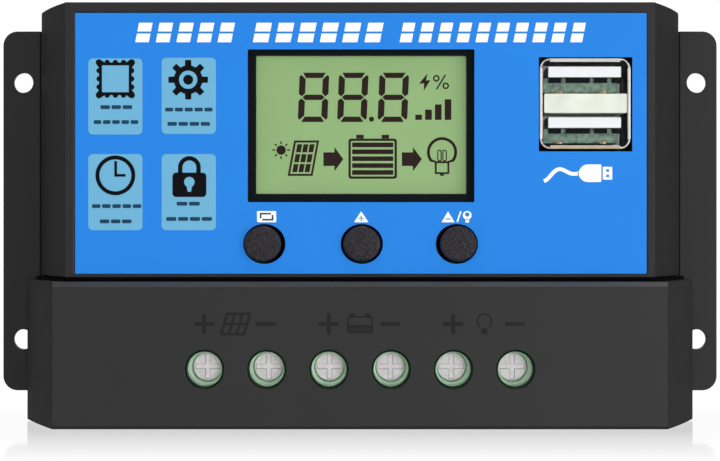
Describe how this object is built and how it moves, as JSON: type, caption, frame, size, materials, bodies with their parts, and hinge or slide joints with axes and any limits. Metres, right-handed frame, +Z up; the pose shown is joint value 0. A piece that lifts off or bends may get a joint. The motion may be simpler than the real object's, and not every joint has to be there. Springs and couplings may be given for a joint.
{
  "type": "solar charge controller",
  "caption": "Flanged black box with a blue face, a small liquid-crystal screen, round push buttons, stacked USB sockets and a hood over a row of screw terminals.",
  "frame": {"origin": "middle of the case's footprint, on the surface that it stands on", "axes": "+X to the right of someone facing it, +Y back into the wall, +Z up the face"},
  "size_m": [0.1244, 0.035, 0.07],
  "materials": {
    "black_plastic": "fine-grained moulded black",
    "blue_label": "satin printed film, bright blue",
    "button_plastic": "matt soft black",
    "lcd_green": "smooth yellow-green reflective screen",
    "diffuser": "milky white light guide",
    "board_green": "green solder mask",
    "terminal_green": "green moulded polyamide",
    "plated_steel": "bright nickel plate",
    "tinned_copper": "tinned copper",
    "black_steel": "blackened steel",
    "aluminium": "bare rolled plate",
    "white_plastic": "white moulded polyamide",
    "component_black": "black epoxy moulding",
    "capacitor_sleeve": "dark blue shrink sleeve"
  },
  "bodies": {
    "case": {"rear_base": "black_plastic", "front_cover": "black_plastic", "terminal_hood": "black_plastic", "lcd_frame": "black_plastic", "face_label": "blue_label", "lcd_glass": "lcd_green", "lcd_backlight": "diffuser", "display_board": "board_green", "main_board": "board_green", "board_header": "component_black", "usb_shell": "plated_steel", "usb_insulator": "white_plastic", "terminal_block": "terminal_green", "heat_plate": "aluminium", "controller_chip": "component_black", "inductor": "component_black", "switch_body_menu": "component_black", "switch_body_up": "component_black", "switch_body_down": "component_black", "contact_bar_1": "tinned_copper", "contact_bar_2": "tinned_copper", "contact_bar_3": "tinned_copper", "contact_bar_4": "tinned_copper", "contact_bar_5": "tinned_copper", "contact_bar_6": "tinned_copper", "case_screw_1": "black_steel", "board_screw_1": "plated_steel", "display_screw_1": "plated_steel", "case_screw_2": "black_steel", "board_screw_2": "plated_steel", "display_screw_2": "plated_steel", "case_screw_3": "black_steel", "board_screw_3": "plated_steel", "display_screw_3": "plated_steel", "case_screw_4": "black_steel", "board_screw_4": "plated_steel", "display_screw_4": "plated_steel", "power_transistor_1": "component_black", "power_transistor_2": "component_black", "power_transistor_3": "component_black", "filter_capacitor_1": "capacitor_sleeve", "filter_capacitor_2": "capacitor_sleeve"},
    "button_menu": {"button_cap_menu": "button_plastic", "switch_plunger_menu": "white_plastic"},
    "button_up": {"button_cap_up": "button_plastic", "switch_plunger_up": "white_plastic"},
    "button_down": {"button_cap_down": "button_plastic", "switch_plunger_down": "white_plastic"},
    "screw_1": {"terminal_screw_1": "plated_steel"},
    "cage_1": {"clamp_cage_1": "plated_steel"},
    "screw_2": {"terminal_screw_2": "plated_steel"},
    "cage_2": {"clamp_cage_2": "plated_steel"},
    "screw_3": {"terminal_screw_3": "plated_steel"},
    "cage_3": {"clamp_cage_3": "plated_steel"},
    "screw_4": {"terminal_screw_4": "plated_steel"},
    "cage_4": {"clamp_cage_4": "plated_steel"},
    "screw_5": {"terminal_screw_5": "plated_steel"},
    "cage_5": {"clamp_cage_5": "plated_steel"},
    "screw_6": {"terminal_screw_6": "plated_steel"},
    "cage_6": {"clamp_cage_6": "plated_steel"}
  },
  "joints": [
    {"name": "press_menu", "type": "slide", "parent": "case", "child": "button_menu", "axis": [0, 1, 0], "range_m": [0, 0.0003], "stiffness_N_per_m": 1500, "springref_m": -0.0003},
    {"name": "press_up", "type": "slide", "parent": "case", "child": "button_up", "axis": [0, 1, 0], "range_m": [0, 0.0003], "stiffness_N_per_m": 1500, "springref_m": -0.0003},
    {"name": "press_down", "type": "slide", "parent": "case", "child": "button_down", "axis": [0, 1, 0], "range_m": [0, 0.0003], "stiffness_N_per_m": 1500, "springref_m": -0.0003},
    {"name": "turn_screw_1", "type": "hinge", "parent": "case", "child": "screw_1", "pos_m": [-0.0254, 0, 0.00982], "axis": [0, 1, 0], "range_deg": [0, 1440]},
    {"name": "lift_cage_1", "type": "slide", "parent": "case", "child": "cage_1", "axis": [0, -1, 0], "range_m": [0, 0.0024]},
    {"name": "turn_screw_2", "type": "hinge", "parent": "case", "child": "screw_2", "pos_m": [-0.01524, 0, 0.00982], "axis": [0, 1, 0], "range_deg": [0, 1440]},
    {"name": "lift_cage_2", "type": "slide", "parent": "case", "child": "cage_2", "axis": [0, -1, 0], "range_m": [0, 0.0024]},
    {"name": "turn_screw_3", "type": "hinge", "parent": "case", "child": "screw_3", "pos_m": [-0.00508, 0, 0.00982], "axis": [0, 1, 0], "range_deg": [0, 1440]},
    {"name": "lift_cage_3", "type": "slide", "parent": "case", "child": "cage_3", "axis": [0, -1, 0], "range_m": [0, 0.0024]},
    {"name": "turn_screw_4", "type": "hinge", "parent": "case", "child": "screw_4", "pos_m": [0.00508, 0, 0.00982], "axis": [0, 1, 0], "range_deg": [0, 1440]},
    {"name": "lift_cage_4", "type": "slide", "parent": "case", "child": "cage_4", "axis": [0, -1, 0], "range_m": [0, 0.0024]},
    {"name": "turn_screw_5", "type": "hinge", "parent": "case", "child": "screw_5", "pos_m": [0.01524, 0, 0.00982], "axis": [0, 1, 0], "range_deg": [0, 1440]},
    {"name": "lift_cage_5", "type": "slide", "parent": "case", "child": "cage_5", "axis": [0, -1, 0], "range_m": [0, 0.0024]},
    {"name": "turn_screw_6", "type": "hinge", "parent": "case", "child": "screw_6", "pos_m": [0.0254, 0, 0.00982], "axis": [0, 1, 0], "range_deg": [0, 1440]},
    {"name": "lift_cage_6", "type": "slide", "parent": "case", "child": "cage_6", "axis": [0, -1, 0], "range_m": [0, 0.0024]}
  ],
  "couplings": [
    {"joint": "turn_screw_1", "follows": "lift_cage_1", "rad_per_m": 10472},
    {"joint": "turn_screw_2", "follows": "lift_cage_2", "rad_per_m": 10472},
    {"joint": "turn_screw_3", "follows": "lift_cage_3", "rad_per_m": 10472},
    {"joint": "turn_screw_4", "follows": "lift_cage_4", "rad_per_m": 10472},
    {"joint": "turn_screw_5", "follows": "lift_cage_5", "rad_per_m": 10472},
    {"joint": "turn_screw_6", "follows": "lift_cage_6", "rad_per_m": 10472}
  ]
}
